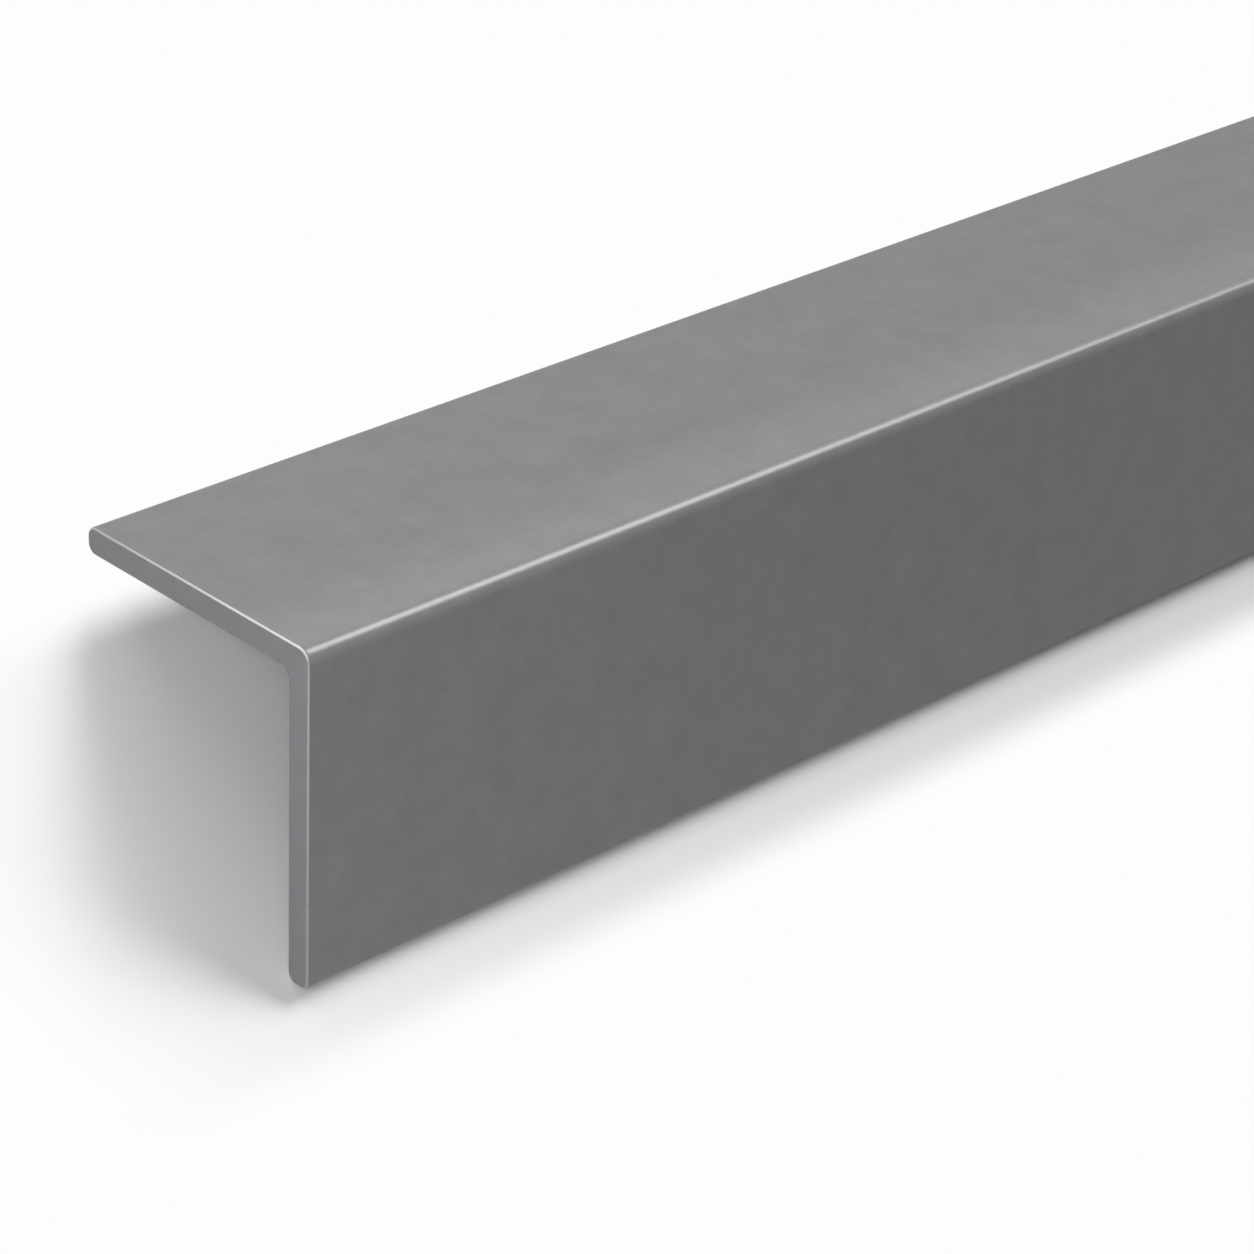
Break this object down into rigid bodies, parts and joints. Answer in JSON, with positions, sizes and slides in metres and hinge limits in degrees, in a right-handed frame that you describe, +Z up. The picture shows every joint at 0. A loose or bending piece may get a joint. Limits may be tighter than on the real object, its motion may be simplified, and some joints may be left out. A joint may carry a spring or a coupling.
{
  "type": "corner guard",
  "caption": "Length of grey rigid PVC angle with unequal legs, rounded outer corner and free edges, glued over a wall's outside corner to protect it.",
  "frame": {"origin": "on the floor, under the middle of the guard's box as it lies ridge up on both free edges", "axes": "+X along the length, +Z up from the floor through the ridge, wide leg sloping down to -Y and narrow leg to +Y"},
  "size_m": [1, 0.066, 0.0348],
  "materials": {
    "grey_pvc": "satin"
  },
  "bodies": {
    "root": {"corner_guard": "grey_pvc"}
  },
  "joints": []
}
